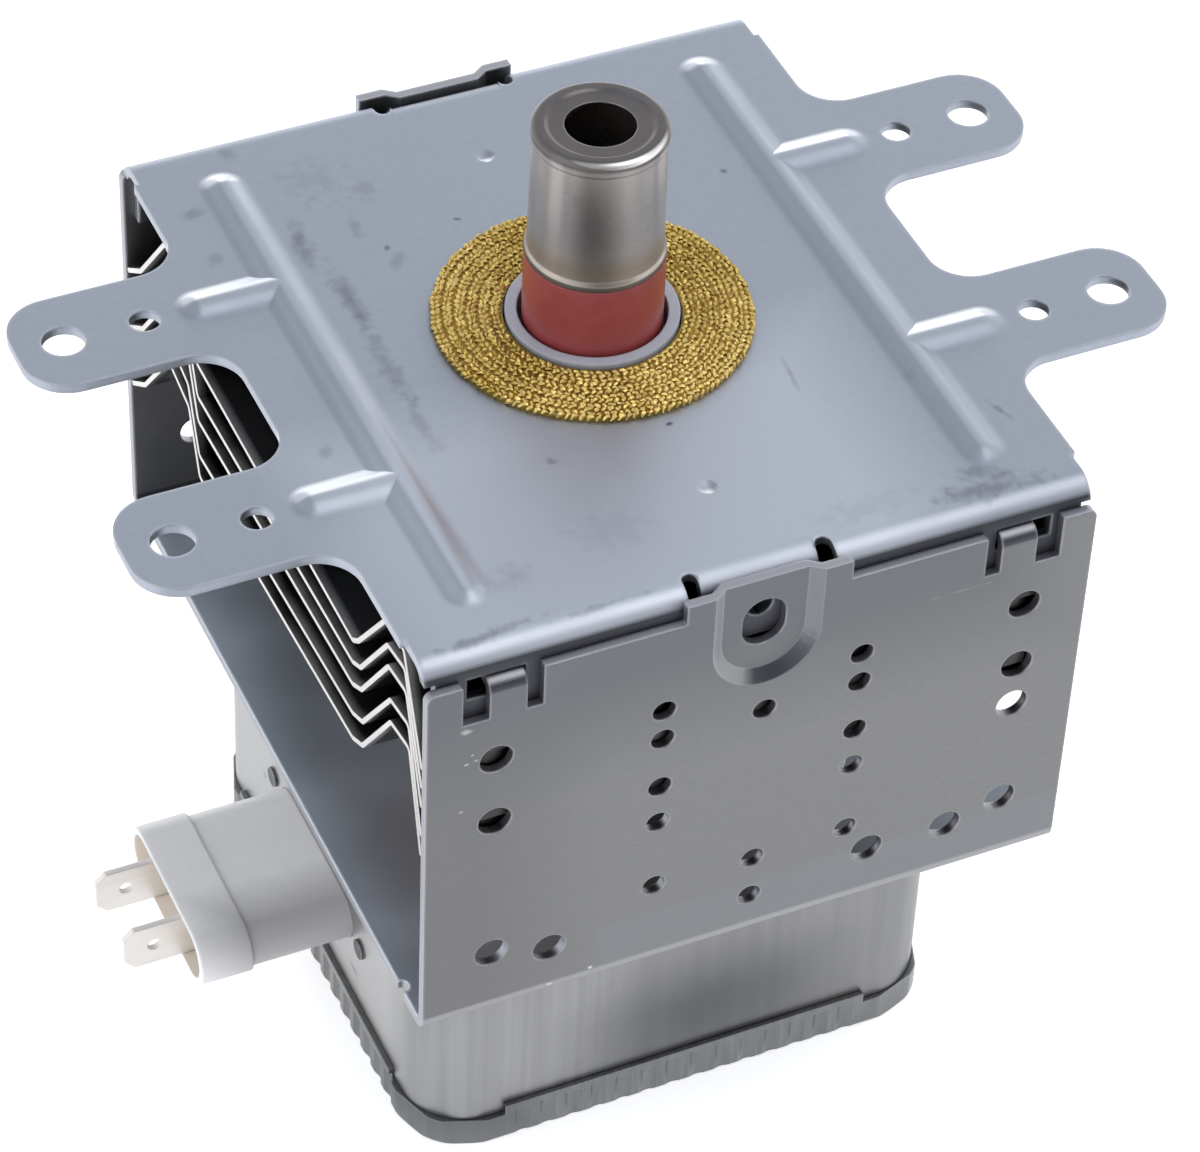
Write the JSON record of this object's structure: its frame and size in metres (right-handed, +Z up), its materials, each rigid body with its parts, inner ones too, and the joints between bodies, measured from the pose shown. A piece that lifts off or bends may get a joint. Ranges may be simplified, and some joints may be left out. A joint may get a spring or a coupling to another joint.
{
  "type": "magnetron",
  "caption": "Magnetron tube in a steel yoke with bent cooling fins, ribbed mounting plate with arms, capped antenna above, filter box below and a flat-tab connector",
  "frame": {"origin": "on the antenna axis, in the top face of the mounting plate, at the centre of its hole pattern", "axes": "+Z up along the antenna, +X along the front wall away from the connector, +Y from the front wall to the back wall"},
  "size_m": [0.125, 0.095, 0.1211],
  "materials": {
    "plate_steel": "zinc-coated sheet, fine scuffs",
    "yoke_steel": "matte zinc-coated sheet",
    "aluminium_sheet": "rolled sheet",
    "ferrite": "ground ferrite, matte",
    "copper": "bare copper",
    "ceramic": "dense ceramic, red-brown",
    "stainless_cap": "drawn stainless steel, warm tint",
    "cathode_metal": "molybdenum and tungsten, dark grey",
    "box_steel": "drawn zinc-coated sheet with faint streaks",
    "connector_plastic": "light grey moulding, slightly rough",
    "tinned_brass": "tinned, dull silver",
    "gasket_mesh": "knitted metal wire, golden",
    "tube_steel": "plated steel"
  },
  "bodies": {
    "root": {"anode_cylinder": "copper", "anode_vane_1": "copper", "anode_vane_10": "copper", "anode_vane_2": "copper", "anode_vane_3": "copper", "anode_vane_4": "copper", "anode_vane_5": "copper", "anode_vane_6": "copper", "anode_vane_7": "copper", "anode_vane_8": "copper", "anode_vane_9": "copper", "antenna_cap": "stainless_cap", "antenna_lead": "copper", "box_rivets": "tube_steel", "capacitor_flange": "box_steel", "capacitor_rivets": "tube_steel", "cathode_filament": "cathode_metal", "centre_lead": "cathode_metal", "choke_coil_1": "copper", "choke_coil_2": "copper", "connector_housing": "connector_plastic", "cooling_fin_1": "aluminium_sheet", "cooling_fin_2": "aluminium_sheet", "cooling_fin_3": "aluminium_sheet", "cooling_fin_4": "aluminium_sheet", "cooling_fin_5": "aluminium_sheet", "exhaust_tube": "copper", "ferrite_rod_1": "ferrite", "ferrite_rod_2": "ferrite", "filter_box": "box_steel", "filter_box_lid": "box_steel", "input_seal_sleeve": "tube_steel", "lower_end_hat": "cathode_metal", "lower_magnet": "ferrite", "lower_pole_piece": "tube_steel", "lower_strap_ring_1": "copper", "lower_strap_ring_2": "copper", "mounting_plate": "plate_steel", "output_ceramic": "ceramic", "output_seal_sleeve": "tube_steel", "rf_gasket": "gasket_mesh", "side_lead": "cathode_metal", "stem_ceramic": "ceramic", "stem_terminal_1": "tube_steel", "stem_terminal_2": "tube_steel", "terminal_tab_1": "tinned_brass", "terminal_tab_2": "tinned_brass", "upper_end_hat": "cathode_metal", "upper_magnet": "ferrite", "upper_pole_piece": "tube_steel", "upper_strap_ring_1": "copper", "upper_strap_ring_2": "copper", "yoke_frame": "yoke_steel"}
  },
  "joints": []
}
